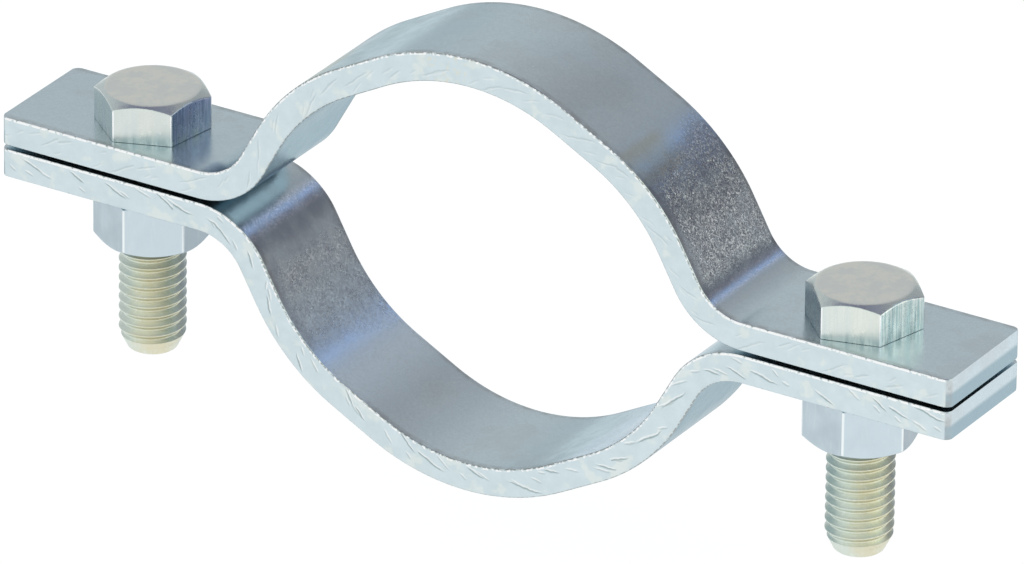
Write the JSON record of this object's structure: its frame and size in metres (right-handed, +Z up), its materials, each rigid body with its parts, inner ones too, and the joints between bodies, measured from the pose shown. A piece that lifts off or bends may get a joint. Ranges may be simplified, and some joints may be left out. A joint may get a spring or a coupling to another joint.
{
  "type": "pipe clamp",
  "caption": "Split pipe clamp of bent flat bar: arched half straps with drilled ears, drawn together round a pipe by hex bolts and nuts.",
  "frame": {"origin": "on the pipe's axis, midway between the half straps and midway across their width", "axes": "+Y along the pipe, +X along the ears to the right, +Z up towards the bolt heads"},
  "size_m": [0.2, 0.0254, 0.0862],
  "materials": {
    "strap_zinc": "bright zinc plated flat bar, satin, with grainy bends and pale cut edges",
    "bolt_zinc": "bright zinc plated, faint yellow and blue passivation",
    "nut_zinc": "bright zinc plated, smooth, pale blue"
  },
  "bodies": {
    "upper_half": {"upper_strap": "strap_zinc"},
    "lower_half": {"lower_strap": "strap_zinc"},
    "left_bolt": {"left_bolt": "bolt_zinc"},
    "right_bolt": {"right_bolt": "bolt_zinc"},
    "left_nut": {"left_nut": "nut_zinc"},
    "right_nut": {"right_nut": "nut_zinc"}
  },
  "joints": [
    {"name": "halves_part", "type": "slide", "parent": "upper_half", "child": "lower_half", "axis": [0, 0, -1], "range_m": [0, 0.02]},
    {"name": "left_nut_turn", "type": "hinge", "parent": "lower_half", "child": "left_nut", "pos_m": [-0.07515, 0, -0.0171], "axis": [0, 0, -1], "continuous": true},
    {"name": "right_nut_turn", "type": "hinge", "parent": "lower_half", "child": "right_nut", "pos_m": [0.07515, 0, -0.0171], "axis": [0, 0, -1], "continuous": true},
    {"name": "left_bolt_turn", "type": "hinge", "parent": "upper_half", "child": "left_bolt", "pos_m": [-0.07515, 0, 0.006], "axis": [0, 0, -1], "continuous": true},
    {"name": "right_bolt_turn", "type": "hinge", "parent": "upper_half", "child": "right_bolt", "pos_m": [0.07515, 0, 0.006], "axis": [0, 0, -1], "continuous": true}
  ],
  "couplings": [
    {"joint": "left_nut_turn", "follows": "halves_part", "rad_per_m": 3215.6},
    {"joint": "right_nut_turn", "follows": "halves_part", "rad_per_m": 3215.6}
  ]
}
